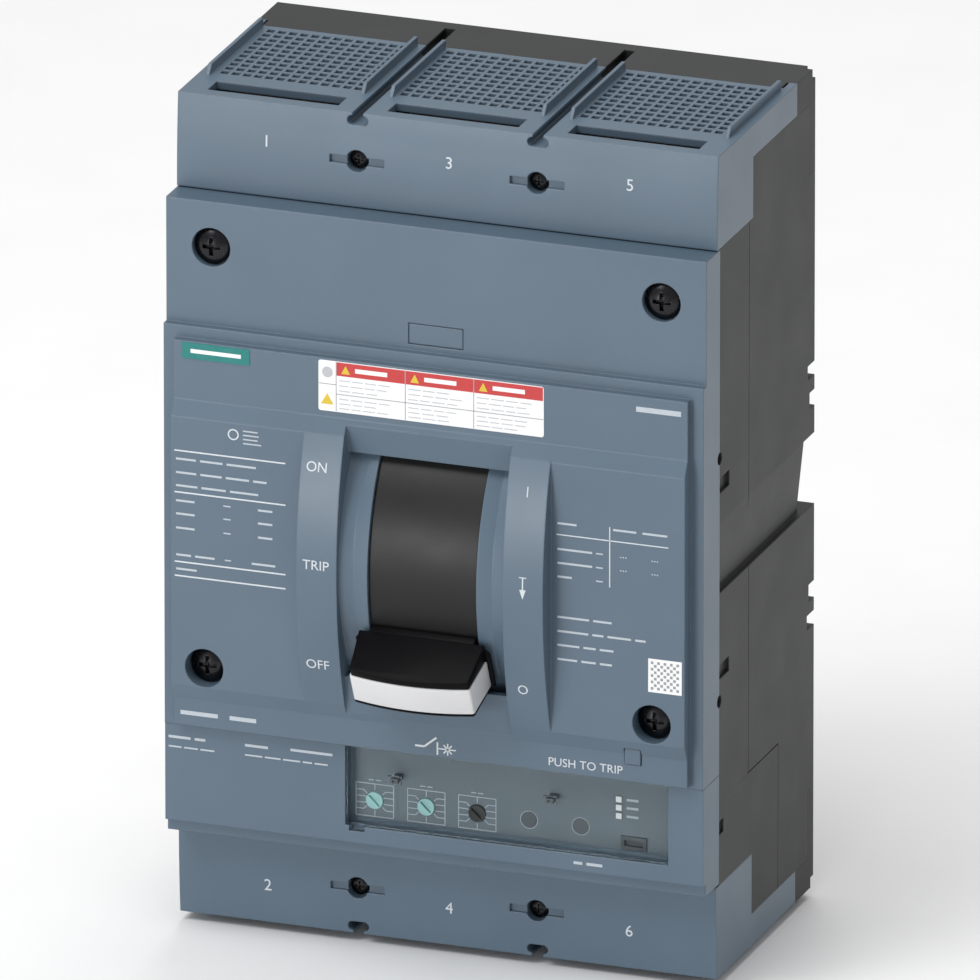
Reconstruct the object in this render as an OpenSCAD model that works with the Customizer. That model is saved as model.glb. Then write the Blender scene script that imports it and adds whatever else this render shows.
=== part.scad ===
// Three-pole molded case circuit breaker with an electronic trip unit.
// Millimetres. X runs to the right, Z runs up, and the rear mounting face is the plane Y = 0,
// so the front is towards -Y. The origin is the centre of the rear face.
// "Depth" below always means the distance forward from the rear face, so Y = -depth.

/* [Overall] */
// Width across the three poles
body_w = 210; // [209:0.5:212]
// Height over both terminal covers
body_h = 320; // [319:0.5:322]
// Distance between neighbouring poles
pole_pitch = 70; // [69.5:0.25:70.5]
// Thickness of the black housing's outer walls
wall = 4; // [3.5:0.25:4.5]

/* [Front steps] */
// Depth of the joint between the black housing and the front covers
skin_d = 103.3; // [103:0.1:104]
// Depth of the upper part of the front cover
step_d = 117.8; // [117:0.1:118.5]
// Depth of the front cover's rim
rim_d = 120.8; // [120:0.1:121.5]
// Depth of the raised field inside the rim
field_d = 124; // [123:0.25:124.5]
// Depth of the label plateau
plateau_d = 127; // [126.5:0.25:128]
// Depth of the curved bands at their highest point
band_d = 135.6; // [134:0.2:137]

/* [Housing seams] */
// Depth of the seam between base and front housing
seam_d = 72; // [71.5:0.25:72.5]
// Depth of the seam behind the trip unit
trip_seam_d = 39.2; // [39:0.1:39.6]
// Height of the seam above the trip unit
trip_top_z = -91; // [-91.2:0.1:-90.8]
// Thickness of the insulating plates at the rear ends
plate_t = 7; // [6.5:0.25:7.5]

/* [Toggle] */
// Depth of the toggle's pivot
lever_d = 58.6; // [58.4:0.1:58.8]
// Height of the toggle's pivot
lever_z = -10.2; // [-10.4:0.1:-10]
// Outer radius of the curved shield about the pivot
shield_r = 73.2; // [73:0.1:73.4]
// Radius of the rails beside the slot, about the pivot
rail_r = 74.6; // [74.4:0.1:74.8]
// Radius of the handle's tip about the pivot
handle_r = 95.9; // [92:0.1:97]
// Angle of the toggle below the horizontal in its off position
off_angle = 24.5; // [24:0.5:25]

/* [Contacts] */
// Depth of the contact shaft's axis
shaft_d = 44; // [43.8:0.1:44.2]
// Height of the contact shaft's axis
shaft_z = -26; // [-26.2:0.1:-25.8]
// Angle by which the contacts stand open
open_angle = 38; // [36:1:38]

/* [Fixing] */
// Radius of the holes that fix the breaker to its mounting plate
mount_hole_r = 3.25; // [3:0.05:3.5]
// Height of those holes above and below the middle
mount_hole_z = 129.5; // [129:0.25:130]

/* [Hidden] */
$fn = 64;
half_w = body_w / 2;
end_z = body_h / 2;
poles = [-pole_pitch, 0, pole_pitch];
phases = [-pole_pitch / 2, pole_pitch / 2];

cover_z = 124;          // where the terminal covers begin
notch_z = 147.6;        // where their sides reach further back
plate_z = 120.6;        // where the rear plates begin
top_edge_z = 75.4;      // step between the front cover's two levels
low_edge_z = -80.6;     // bottom edge of the front cover
field_z = [-79.4, 70.7];
slope_top_z = [42, 48];
slope_low_z = [-68.7, -62.8];
unit_low_z = -118.5;    // bottom edge of the trip unit's raised face
unit_end_z = -123.3;

cavity_half = half_w - pole_pitch - wall;   // half width of the room for one pole
pad_d = [81, 89];       // depths of the copper connection pads
pad_half = 22;
bolt_z = 140;           // height of the connection bolts
bolt_hole_r = 6.5;
cover_screw_z = 141.7;
busbar_slot = 51;       // width of the slot for a busbar in a terminal cover
busbar_slot_d = [90, 99.5];

// Depth and height of each large cover screw, with its distance from the middle
big_screws = [[87.5, 105.8, step_d], [87.2, -55, plateau_d]];

shield_t = 1.5;
shield_half = 20.8;
slot_half = 21.2;
well_half = 32.3;
well_z = [-66.2, 46.1];
rail_z = [-51.2, 34.8];
handle_root_r = 75.6;
lever_pin_r = 3;
handle_bow_r = 121;     // radius of the handle's bowed front edge, seen from above
handle_t = [-7.2, 9.2]; // underside and top of the handle at its tip
handle_root_t = 13.1;   // top of the handle where it meets the shield
cap_t = [-5.8, 6.2];

arm_half = 5;
hub_r = 13;
core_r = 6;
journal_r = 10;
arm_len = 58;
tip_face_d = 33;

cradle_pin = [82, -6];
crank_r = 18;
link_len = [20, 19];
upper_link_angle = 148.56;
lower_link_angle = 58.72;

trip_bar_d = 94;
trip_bar_z = -83;
button_x = 79;
button_z = -69.5;
button_side = 6;
actuator_x = -47.6;
actuator_d = 84;

window_x = [-34, 90.9];
window_z = [-111.3, -81.4];
panel_d = 114.2;
window_d = [118.9, 120.4];
dial_x = [-25.2, -5.1, 14.8];
dial_z = -103.2;
dial_r = 3.3;
plug_x = [35, 55.1];
eyelet_x = [-15.5, 45.1];
eyelet_z = -92.4;
led_z = [-90.6, -93.8, -97.1];

// ---------------------------------------------------------------- helpers

// A box given by its ranges across, in depth and in height
module block(x, d, z)
    translate([x[0], -d[1], z[0]]) cube([x[1] - x[0], d[1] - d[0], z[1] - z[0]]);

// A box that is centred on x
module bar(x, half, d, z) block([x - half, x + half], d, z);

// A rod that runs forward between two depths
module forward_rod(r, x, d, z)
    translate([x, -d[0], z]) rotate([90, 0, 0]) cylinder(r = r, h = d[1] - d[0]);

// A rod that runs across between two values of X
module cross_rod(r, x, d, z)
    translate([x[0], -d, z]) rotate([0, 90, 0]) cylinder(r = r, h = x[1] - x[0]);

// Stretches an outline, drawn in depth and height, across a range of X
module across(x)
    translate([x[0], 0, 0]) rotate([90, 0, 90]) linear_extrude(x[1] - x[0]) mirror([1, 0]) children();

// The same piece for both signs of X, or for both signs of Z
module both_sides() { children(); mirror([1, 0, 0]) children(); }
module both_ends() { children(); mirror([0, 0, 1]) children(); }

// Puts children that point forward from the lever's pivot into the off position
module at_lever() translate([0, -lever_d, lever_z]) rotate([off_angle, 0, 0]) children();

// Puts children that point up from the contact shaft into the open position
module at_shaft() translate([0, -shaft_d, shaft_z]) rotate([open_angle, 0, 0]) children();

// Sector between two angles in the lever's plane, which cuts a round piece
module wedge(x, from, to, r) across(x)
    polygon([[0, 0], for (i = [0:4]) let(a = from + (to - from) * i / 4) r * [cos(a), sin(a)]]);

// A coil spring along Z, as one tube swept along its helix
module coil(radius, wire, height, turns) {
    rings = round(turns * 14);
    sides = 8;
    function ring(i) =
        let(a = 360 * turns * i / rings, c = [radius * cos(a), radius * sin(a), height * i / rings])
        [for (j = [0:sides - 1]) let(b = 360 * j / sides)
            c + wire * [cos(a) * cos(b), sin(a) * cos(b), sin(b)]];
    points = [for (i = [0:rings]) each ring(i)];
    faces = concat(
        [[for (j = [0:sides - 1]) j]],
        [for (i = [0:rings - 1], j = [0:sides - 1]) let(k = (j + 1) % sides, a = i * sides)
            each [[a + j, a + sides + j, a + k], [a + k, a + sides + j, a + sides + k]]],
        [[for (j = [sides - 1:-1:0]) rings * sides + j]]);
    polyhedron(points, faces);
}

// ---------------------------------------------------------------- housings

// Grooves that run across the rear face, as [lowest Z, highest Z, depth]
rear_grooves = [[40.4, 45.7, 7.4], [28.5, 34.7, 5.3], [-10, 17.8, 11.8], [-46.7, -40.1, 5.9], [-57.3, -51.8, 7.7]];

module rear_groove_cuts() for (g = rear_grooves) block([-half_w - 1, half_w + 1], [-1, g[2]], [g[0], g[1]]);

// Clearance for the screws that hold the breaker to its plate
module mounting_holes(d) for (x = phases, s = [-1, 1]) forward_rod(mount_hole_r, x, d, s * mount_hole_z);

// Hollow across a side wall that deepens downward and ends in a step
module side_scoop() translate([0, 1, 0]) rotate([90, 0, 0]) linear_extrude(skin_d + 2)
    polygon([[half_w + 1, scoop_z[0]], [half_w - scoop_t, scoop_z[0]], [half_w - scoop_t, scoop_z[0] + 4],
        [half_w, scoop_z[1]], [half_w + 1, scoop_z[1]]]);

scoop_t = 2.4;
scoop_z = [-10, 17.5];

// Parting lines between the housings, as fine grooves in the side wall
module seam_grooves() {
    block([half_w - seam_groove, half_w + 1], [seam_d - seam_groove, seam_d + 1], [trip_top_z, cover_z + 1]);
    block([half_w - seam_groove, half_w + 1], [trip_seam_d, seam_d + 1], [trip_top_z - 1, trip_top_z + seam_groove]);
    block([half_w - seam_groove, half_w + 1], [trip_seam_d - seam_groove, trip_seam_d + 1],
        [-notch_z, trip_top_z + seam_groove]);
}

seam_groove = 0.5;

module pole_room(d, z) for (x = poles) bar(x, cavity_half, d, z);

module nut_pocket(x, z) translate([x, -68, z]) rotate([90, 0, 0]) cylinder(r = 11.2, h = 14, $fn = 6);

module base_housing() color("#3b3c3e") difference() {
    union() {
        difference() {
            across([-half_w, half_w]) polygon([
                [0, -plate_z], [plate_t, -plate_z], [plate_t, -notch_z], [trip_seam_d, -notch_z],
                [trip_seam_d, trip_top_z], [seam_d, trip_top_z], [seam_d, cover_z], [67.6, cover_z],
                [67.6, notch_z], [plate_t, notch_z], [plate_t, plate_z], [0, plate_z]]);
            pole_room([16, seam_d + 1], [-84, 117]);
            pole_room([8, 17], [56, 117]);
            pole_room([8, 17], [-84, -66]);
            pole_room([14, trip_seam_d + 1], [-144, -95]);
            pole_room([14, 68], [124, notch_z - 3]);
            for (x = phases) bar(x, 3, [14, 68], [124, notch_z - 3]);
        }
        for (x = poles) bar(x, pad_half + 1, [13, pad_d[0] - 0.1], [126, notch_z - 2]);
        for (x = phases) {
            forward_rod(5.8, x, [13, 60], cover_screw_z);
            forward_rod(6.3, x, [13, 60], mount_hole_z);
        }
    }
    for (x = poles) {
        bar(x, 14, [41, seam_d + 1], [trip_top_z - 1, -83]);
        nut_pocket(x, bolt_z);
    }
    for (x = phases) {
        bar(x, 4.1, [28, seam_d + 1], [shaft_z - 15, shaft_z + 15]);
        for (s = [-1, 1]) forward_rod(2.2, x, [25, 61], s * cover_screw_z);
        for (z = [-70, 30, 100]) {
            forward_rod(2.1, x, [-1, seam_d + 1], z);
            forward_rod(4.5, x, [-1, 12], z);
        }
    }
    mounting_holes([-1, 61]);
    rear_groove_cuts();
    both_sides() side_scoop();
    both_sides() seam_grooves();
}

module front_housing() color("#424345") difference() {
    union() {
        difference() {
            block([-half_w, half_w], [seam_d, skin_d], [trip_top_z, cover_z]);
            pole_room([seam_d - 1, 100.3], [-88, 120]);
            bar(0, 34, [99, skin_d + 1], [-72, 52]);
        }
        for (s = big_screws) both_sides() forward_rod(6, s[0], [68, skin_d], s[1]);
    }
    for (s = big_screws) both_sides() forward_rod(2.6, s[0], [67, skin_d + 1], s[1]);
    for (x = poles) bar(x, pad_half + 0.5, [pad_d[0] - 0.5, pad_d[1] + 0.5], [119, cover_z + 1]);
    for (x = phases) {
        bar(x, 4.1, [seam_d - 1, trip_bar_d + 5], [trip_bar_z - 5, trip_bar_z + 5]);
        for (z = [-70, 30, 100]) forward_rod(1.7, x, [seam_d - 1, 90], z);
    }
    bar(button_x, 3.4, [99, skin_d + 1], [button_z - 3.4, button_z + 3.4]);
    both_sides() {
        // Windows for the front cover's snap hooks, and the two round vents on the joint
        for (z = [[28.8, 34.9], [-43.5, -37.7]]) block([half_w - 1.5, half_w + 1], [92.8, skin_d + 1], z);
        for (z = [42.5, -52]) cross_rod(2.4, [half_w - 2, half_w + 1], skin_d, z);
        side_scoop();
    }
}

// Plate across the back of one end, with the channels for the phase barriers
module rear_plate() difference() {
    union() {
        block([-half_w, half_w], [0, plate_t], [plate_z + 0.1, notch_z]);
        block([-half_w, half_w], [0, 19.8], [notch_z + 0.1, end_z]);
        block([-half_w + 4, half_w - 4], [19.7, 26], [154.2, end_z]);
        block([-half_w, half_w], [0, plate_t], [notch_z - 0.1, notch_z + 0.2]);
    }
    for (x = phases) barrier_channel(x, [6, 27]);
    mounting_holes([-1, plate_t + 1]);
    block([half_w - 3, half_w + 1], [-1, 3], [end_z - 4, end_z + 1]);
}

module upper_rear_plate() color("#38393b") rear_plate();
module lower_rear_plate() color("#38393b") mirror([0, 0, 1]) rear_plate();

// ---------------------------------------------------------------- terminal covers

// T-shaped channel in an end face, for an insulating barrier between two poles
module barrier_channel(x, d) {
    bar(x, 2.15, d, [158, end_z + 1]);
    hull() for (s = [-1, 1]) forward_rod(1.8, x + s * 2.3, d, 157.1, $fn = 24);
}

cover_arc_r = 400;
cover_arc_d = 106.4;    // depth of the arc's foremost point
cover_arc_z = 126;      // and its height

// Outline of a cover's section in depth and height, with its front bowed slightly outward
module cover_section(inset) difference() {
    polygon([[19.8, end_z - inset], [112, end_z - inset], [112, cover_z - 1],
        [67.6, cover_z - 1], [67.6, notch_z], [19.8, notch_z]]);
    difference() {
        translate([95, cover_z - 10]) square([30, 60]);
        translate([cover_arc_d - cover_arc_r - inset, cover_arc_z]) circle(r = cover_arc_r, $fn = 360);
    }
    translate([60, cover_z - 2]) square([60, 2]);
}

module grille(x) {
    columns = 13;
    rows = 11;
    for (i = [0:columns - 1], j = [0:rows - 1])
        bar(x + (i - (columns - 1) / 2) * 4.35, 1.5, [29.5 + j * 4.85, 32.7 + j * 4.85], [155, end_z + 1]);
}

module fin(x) across([x - 0.7, x + 0.7])
    polygon([[28, end_z - 0.1], [85, end_z - 0.1], [82, end_z + 3.6], [28, end_z + 3.6]]);

module barrier_fins(x) for (s = [-1, 1]) fin(x + s * 5.5);

module terminal_cover() difference() {
    union() {
        difference() {
            across([-half_w, half_w]) cover_section(0);
            across([-half_w + 3, half_w - 3]) translate([0, -0.01]) cover_section(3);
            block([-half_w + 3, half_w - 3], [10, 26.2], [notch_z - 1, end_z + 1]);
            block([-half_w + 3, half_w - 3], [60, 80], [cover_z - 1, notch_z + 5]);
        }
        for (x = phases) {
            bar(x, 6, [26.2, 104.5], [152.8, end_z]);
            forward_rod(7.5, x, [67.6, 105.5], cover_screw_z);
        }
    }
    for (x = phases) {
        barrier_channel(x, [20, 110]);
        forward_rod(2.8, x, [60, 110], cover_screw_z);
        forward_rod(4.2, x, [101.5, 110], cover_screw_z);
        bar(x, 10.6, [104.6, 110], [cover_screw_z - 1.5, cover_screw_z + 1.5]);
    }
    for (x = poles) {
        bar(x, busbar_slot / 2, busbar_slot_d, [155, end_z + 1]);
        grille(x);
    }
}

module terminal_cover_fins() {
    for (x = phases) barrier_fins(x);
    both_sides() fin(half_w - 4);
}

module upper_terminal_cover() color("#6f8091") union() { terminal_cover(); terminal_cover_fins(); }
module lower_terminal_cover() color("#6f8091") mirror([0, 0, 1]) union() { terminal_cover(); terminal_cover_fins(); }

// Domed screw with a cross recess: shank, head and drive
module cross_screw(head_r, seat_d, shank_r, shank_d) {
    top_d = seat_d + head_r * 0.7;
    difference() {
        union() {
            forward_rod(shank_r, 0, [shank_d, seat_d + 0.1], 0);
            intersection() {
                forward_rod(head_r, 0, [seat_d, top_d + 1], 0);
                translate([0, head_r * 1.6 - top_d, 0]) sphere(r = head_r * 1.6, $fn = 96);
            }
        }
        for (a = [0, 90]) rotate([0, a, 0])
            bar(0, head_r * 0.5, [top_d - head_r * 0.4, top_d + 1], [-head_r * 0.11, head_r * 0.11]);
    }
}

module terminal_cover_screws() color("#1d1e20")
    for (x = phases) both_ends() translate([x, 0, cover_screw_z]) cross_screw(3.7, 101.5, 2.2, 30);

module cover_screws() color("#141517")
    for (s = big_screws) both_sides() translate([s[0], 0, s[1]]) cross_screw(7, screw_seat(s), 2.6, 72);

module housing_screws() color("#8b8e92")
    for (x = phases, z = [-70, 30, 100]) {
        forward_rod(1.7, x, [11, 86], z);
        difference() {
            forward_rod(4.3, x, [8, 12], z);
            translate([x, -7, z]) rotate([90, 0, 0]) cylinder(r = 2, h = 3, $fn = 6);
        }
    }

// ---------------------------------------------------------------- front cover

// Band that bulges between the plateau's two ends, outline in depth and height
module bulge_section(peak, z, foot) {
    half = (z[1] - z[0]) / 2;
    rise = peak - foot;
    r = (half * half + rise * rise) / (2 * rise);
    intersection() {
        translate([peak - r, (z[0] + z[1]) / 2]) circle(r = r, $fn = 360);
        translate([foot - 8, z[0]]) square([rise + 20, z[1] - z[0]]);
    }
}

// Depth of the face that a large screw's head rests on
function screw_seat(s) = s[2] - (s[1] < 0 ? 8 : 4.6);

module front_cover_shell() difference() {
    union() {
        block([-half_w, half_w], [skin_d, step_d], [top_edge_z - 1, 123.5]);
        block([-half_w, half_w], [skin_d, rim_d], [low_edge_z, top_edge_z]);
        block([-100, 100], [rim_d - 1, field_d], field_z);
        across([-100, 100]) polygon([
            [field_d - 1, slope_low_z[0]], [field_d, slope_low_z[0]], [plateau_d, slope_low_z[1]],
            [plateau_d, slope_top_z[0]], [field_d, slope_top_z[1]], [field_d - 1, slope_top_z[1]]]);
        both_sides() across([well_half, 48]) bulge_section(band_d, [-62.8, 42.4], plateau_d);
    }
    block([-half_w + 3, half_w - 3], [skin_d - 1, step_d - 3], [top_edge_z, 120.5]);
    block([-half_w + 3, half_w - 3], [skin_d - 1, rim_d - 3], [low_edge_z + 3, top_edge_z - 3]);
    block([-97, 97], [rim_d - 4, field_d - 3], [field_z[0] + 3, field_z[1] - 3]);
}

// A rail is turned about the toggle's pivot
module toggle_rail() intersection() {
    translate([0, -lever_d, lever_z]) rotate([0, 90, 0]) rotate([0, 0, -130]) rotate_extrude(angle = 80, $fn = 240)
        polygon([[rail_r - 4, slot_half], [rail_r, slot_half], [rail_r - 1.1, 27], [rail_r, well_half + 0.2],
            [rail_r - 4, well_half + 0.2]]);
    bar(0, 50, [100, 140], [rail_z[0] - 3, rail_z[1] + 3]);
}

module front_cover() color("#6f8091") difference() {
    union() {
        difference() {
            front_cover_shell();
            block([-well_half, well_half], [skin_d - 1, 140], well_z);
        }
        // Walls of the toggle's well and its sloping ledges
        both_sides() block([well_half - 0.1, well_half + 2.5], [skin_d, field_d - 1], well_z);
        for (z = [[well_z[0] - 2.5, well_z[0] + 0.1], [well_z[1] - 0.1, well_z[1] + 2.5]])
            block([-well_half, well_half], [108.8, field_d - 1], z);
        across([-well_half, well_half]) polygon([
            [125.2, well_z[1]], [122.4, rail_z[1]], [118.6, rail_z[1]], [118.6, well_z[1]]]);
        across([-well_half, well_half]) polygon([
            [125.2, well_z[0]], [120, well_z[0]], [123.6, rail_z[0]], [126.6, rail_z[0]]]);
        // Rails on both sides of the toggle's slot, hollowed slightly along their middle
        both_sides() toggle_rail();
        // Bosses around the screws
        for (s = big_screws) both_sides() forward_rod(9.5, s[0], [skin_d, s[2] - 1], s[1]);
    }
    for (s = big_screws) both_sides() {
        forward_rod(7.5, s[0], [screw_seat(s), 140], s[1]);
        forward_rod(3.4, s[0], [skin_d - 1, 140], s[1]);
    }
    bar(button_x, button_side / 2 + 0.3, [110, 140], [button_z - button_side / 2 - 0.3, button_z + button_side / 2 + 0.3]);
    block([-10.7, 10.7], [step_d - 2, step_d + 1], [77.8, 86]);
    block([-9, 9], [step_d - 4, step_d], [79.5, 84.3]);
    both_sides() for (z = [42.5, -52]) cross_rod(2.4, [half_w - 2, half_w + 1], skin_d, z);
    block([-half_w + 6, half_w - 6], [skin_d - 1, skin_d + 3], [low_edge_z - 1, low_edge_z + 4]);
}

module accessory_door() color("#6f8091") union() {
    block([-10.4, 10.4], [step_d - 1.9, step_d - 0.1], [78.1, 85.7]);
    block([-8.8, 8.8], [step_d - 4.5, step_d - 1.8], [79.7, 84.1]);
}

// ---------------------------------------------------------------- toggle

// Outline of the handle seen from above its flat side, in X and in radius from the pivot
module handle_outline(inset, skirt) intersection() {
    polygon([[-26.4 * skirt, 70], [-26.4 * skirt, handle_root_r + 2.4], [-25 + inset, handle_root_r + 3.4],
        [-23.6 + inset, handle_r + 2], [23.6 - inset, handle_r + 2], [25 - inset, handle_root_r + 3.4],
        [26.4 * skirt, handle_root_r + 2.4], [26.4 * skirt, 70]]);
    translate([0, handle_r - handle_bow_r]) circle(r = handle_bow_r - inset, $fn = 240);
    union() {
        translate([-40, handle_root_r]) square([80, 40]);
        translate([-shield_half + 0.4, 70]) square([2 * shield_half - 0.8, 12]);
    }
}

module handle_layer(t, inset, skirt = 1)
    mirror([0, 1, 0]) translate([0, 0, t[0]]) linear_extrude(t[1] - t[0]) handle_outline(inset, skirt);

module toggle_handle() color("#131214") at_lever() difference() {
    union() {
        handle_layer([handle_t[0], cap_t[1] + 1], 2);
        handle_layer([handle_t[0], cap_t[0]], 0.3);
        // Top, which rises from the tip towards the shield
        intersection() {
            handle_layer([cap_t[1], handle_root_t], 0.3);
            rotate([90, 0, 90]) linear_extrude(60, center = true) mirror([1, 0])
                polygon([[70, cap_t[1]], [handle_r + 1, cap_t[1]], [handle_r + 1, handle_t[1] - 0.4],
                    [73, handle_root_t], [70, handle_root_t]]);
        }
    }
    rotate([0, 90, 0]) cylinder(r = shield_r, h = 80, center = true, $fn = 240);
}

module handle_cap() color("#dadadc") at_lever() difference() {
    handle_layer(cap_t, 0, 0.93);
    handle_layer([cap_t[0] - 1, cap_t[1] + 1], 2);
    translate([-40, -handle_root_r - 2.6, -10]) cube([80, 20, 22]);
}

module toggle_shield() color("#28282a") at_lever() difference() {
    translate([-shield_half, 0, 0]) rotate([0, 90, 0]) cylinder(r = shield_r, h = 2 * shield_half, $fn = 240);
    translate([-30, 0, 0]) rotate([0, 90, 0]) cylinder(r = shield_r - shield_t, h = 60, $fn = 240);
    wedge([-30, 30], 61, 299, 160);
    translate([-7, -80, -4.5]) cube([14, 20, 9]);
}

// Sheet-metal fork outside the mechanism's side plates, with a crossbar behind the shield
yoke_x = [28.6, 30.4];
yoke_r = 69.4;

module toggle_yoke() color("#9a9da1") at_lever() difference() {
    union() {
        both_sides() translate([yoke_x[0], 0, 0]) {
            rotate([0, 90, 0]) cylinder(r = 8, h = yoke_x[1] - yoke_x[0]);
            translate([0, -yoke_r, -6]) cube([yoke_x[1] - yoke_x[0], yoke_r, 12]);
        }
        translate([-yoke_x[1], -yoke_r, -6]) cube([2 * yoke_x[1], 3, 12]);
        translate([-7, -shield_r + 0.2, -4.5]) cube([14, shield_r - yoke_r + 0.2, 9]);
    }
    rotate([0, 90, 0]) cylinder(r = lever_pin_r + 0.05, h = 70, center = true);
}

// ---------------------------------------------------------------- mechanism

module lever_pivot_pins() color("#8b8e92") both_sides() {
    cross_rod(lever_pin_r, [25.2, 30.9], lever_d, lever_z);
    cross_rod(lever_pin_r + 1.5, [24.9, 25.9], lever_d, lever_z);
}

module mechanism_frame() color("#a4a7aa") both_sides() difference() {
    union() {
        across([26, 28]) polygon([[16.2, -52], [60, -52], [97, -30], [97, 24], [80, 40], [30, 40], [16.2, 20]]);
        block([26, 30.6], [16.2, 18.2], [-52, 20]);
    }
    cross_rod(lever_pin_r, [25, 29], lever_d, lever_z);
    cross_rod(hub_r + 1, [25, 29], shaft_d, shaft_z);
    for (p = spacer_places) cross_rod(3, [25, 29], p[0], p[1]);
    cross_rod(3, [25, 29], cradle_pin[0], cradle_pin[1]);
}

spacer_places = [[88, 30], [24, -46]];

module frame_spacers() color("#8b8e92") {
    for (p = spacer_places) {
        cross_rod(3, [-28, 28], p[0], p[1]);
        cross_rod(4.5, [-25.9, 25.9], p[0], p[1]);
    }
}

// Plate pair that carries the upper links' pivot and rests against the trip bar's latch
module latch_cradle() color("#7e8184") {
    both_sides() across([18.8, 20.6]) polygon([
        [76, 2], [88, 2], [92, -20], [92, -62], [84, -62], [84, -22], [76, -12]]);
    both_sides() cross_rod(3, [12.6, 28], cradle_pin[0], cradle_pin[1]);
    block([-24.8, 24.8], [84, 92], [-62, -58]);
}

// Links of the toggle, seen in depth and height, each from its own pivot
module link_plate(x, length, far_r, far_hole) across(x) difference() {
    union() {
        circle(r = 4.8);
        translate([0, -3.5]) square([length, 7]);
        translate([length, 0]) circle(r = far_r);
    }
    circle(r = 3.05);
    translate([length, 0]) circle(r = far_hole);
}

// Turns children that point forward about a pivot by an angle above the horizontal
module pivoted(p, a) translate([0, -p[0], p[1]]) rotate([-a, 0, 0]) children();

crank_place = [shaft_d + crank_r * sin(open_angle), shaft_z + crank_r * cos(open_angle)];

module upper_links() color("#b9bbbe") pivoted(cradle_pin, upper_link_angle) both_sides()
    link_plate([13.4, 15.4], link_len[0], 7.6, 4.8);

module lower_links() color("#b9bbbe") pivoted(crank_place, lower_link_angle) {
    both_sides() {
        link_plate([16.4, 18.2], link_len[1], 5, 1.9);
        translate([5.6, -link_len[1], 0]) rotate([0, 90, 0]) cylinder(r = 2, h = 12.6);
    }
}

// Pair of springs that pull the yoke's crossbar towards the links' common pin
knee_place = crank_place + link_len[1] * [cos(lower_link_angle), sin(lower_link_angle)];
yoke_place = [lever_d + 64.6 * cos(off_angle), lever_z - 64.6 * sin(off_angle)];

module main_springs() color("#c7c9cb") {
    run = yoke_place - knee_place;
    both_sides() pivoted(knee_place, atan2(run[1], run[0]))
        translate([8.6, -3.4, 0]) rotate([90, 0, 0]) coil(2.5, 0.55, norm(run) - 4.6, 17);
}

// ---------------------------------------------------------------- contacts

module contact_shaft() color("#7c2f22") {
    difference() {
        union() {
            for (x = [[-95, -40], [-30, 30], [40, 95]]) cross_rod(hub_r, x, shaft_d, shaft_z);
            cross_rod(journal_r, [-42, 42], shaft_d, shaft_z);
            // Cranks that the lower links push on
            at_shaft() both_sides() {
                translate([13, -4.5, 0]) cube([3, 9, crank_r]);
                translate([13, 0, crank_r]) rotate([0, 90, 0]) cylinder(r = 4.5, h = 3);
                translate([15, 0, crank_r]) rotate([0, 90, 0]) cylinder(r = 3, h = 3.4);
            }
        }
        for (x = poles) difference() {
            bar(x, arm_half + 0.2, [20, 70], [shaft_z - 20, shaft_z + 20]);
            cross_rod(core_r, [x - 10, x + 10], shaft_d, shaft_z);
        }
    }
}

module shaft_bearings() color("#c9c2ae") both_sides() difference() {
    block([31.2, 38.8], [28.2, seam_d - 0.2], [shaft_z - 14.8, shaft_z + 14.8]);
    cross_rod(journal_r + 0.05, [30, 40], shaft_d, shaft_z);
}

module moving_contact(x) color("#b87546") at_shaft() translate([x, 0, 0]) difference() {
    union() {
        translate([-arm_half, 0, 0]) rotate([0, 90, 0]) cylinder(r = hub_r, h = 2 * arm_half);
        translate([-arm_half, -4, 0]) cube([2 * arm_half, 8, arm_len]);
    }
    translate([-10, 0, 0]) rotate([0, 90, 0]) cylinder(r = core_r, h = 20);
}

module moving_contact_left() moving_contact(poles[0]);
module moving_contact_centre() moving_contact(poles[1]);
module moving_contact_right() moving_contact(poles[2]);

module moving_contact_tips() color("#cfd0d2") at_shaft()
    for (x = poles) translate([x - arm_half, 4, arm_len - 11]) cube([2 * arm_half, shaft_d - tip_face_d - 4.3, 10.5]);

module line_terminal(x) color("#b87546") difference() {
    union() {
        bar(x, pad_half, pad_d, [120, 155]);
        bar(x, 20, pad_d, [112.2, 121]);
        bar(x, 20, [20, pad_d[0] + 1], [112.2, 116.9]);
        bar(x, 12, [20, 28], [15, 116.9]);
    }
    forward_rod(bolt_hole_r, x, [70, 95], bolt_z);
}

module line_terminal_left() line_terminal(poles[0]);
module line_terminal_centre() line_terminal(poles[1]);
module line_terminal_right() line_terminal(poles[2]);

module fixed_contact_tips() color("#cfd0d2")
    for (x = poles) bar(x, 6, [28, tip_face_d], [20, 33]);

module load_terminal(x) color("#b87546") difference() {
    union() {
        bar(x, pad_half, pad_d, [-155, -126]);
        bar(x, 13, pad_d, [-127, -96]);
        bar(x, 8, [42, pad_d[0] + 1], [-104, -96]);
    }
    forward_rod(bolt_hole_r, x, [70, 95], -bolt_z);
}

module load_terminal_left() load_terminal(poles[0]);
module load_terminal_centre() load_terminal(poles[1]);
module load_terminal_right() load_terminal(poles[2]);

// Conductor from the trip unit up to a saddle that bears on the moving contact's hub
module load_link(x) color("#b87546") difference() {
    union() {
        bar(x, 8, [42, 50], [-96, -50]);
        bar(x, 8, [34, 54], [-52, -34]);
    }
    cross_rod(hub_r + 0.3, [x - 9, x + 9], shaft_d, shaft_z);
}

module load_link_left() load_link(poles[0]);
module load_link_centre() load_link(poles[1]);
module load_link_right() load_link(poles[2]);

module terminal_nuts() color("#b5b7ba")
    for (x = poles) both_ends() difference() {
        translate([x, -69, bolt_z]) rotate([90, 0, 0]) cylinder(r = 11, h = 11.8, $fn = 6);
        forward_rod(5.1, x, [60, 85], bolt_z);
    }

// ---------------------------------------------------------------- arc chutes

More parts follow.
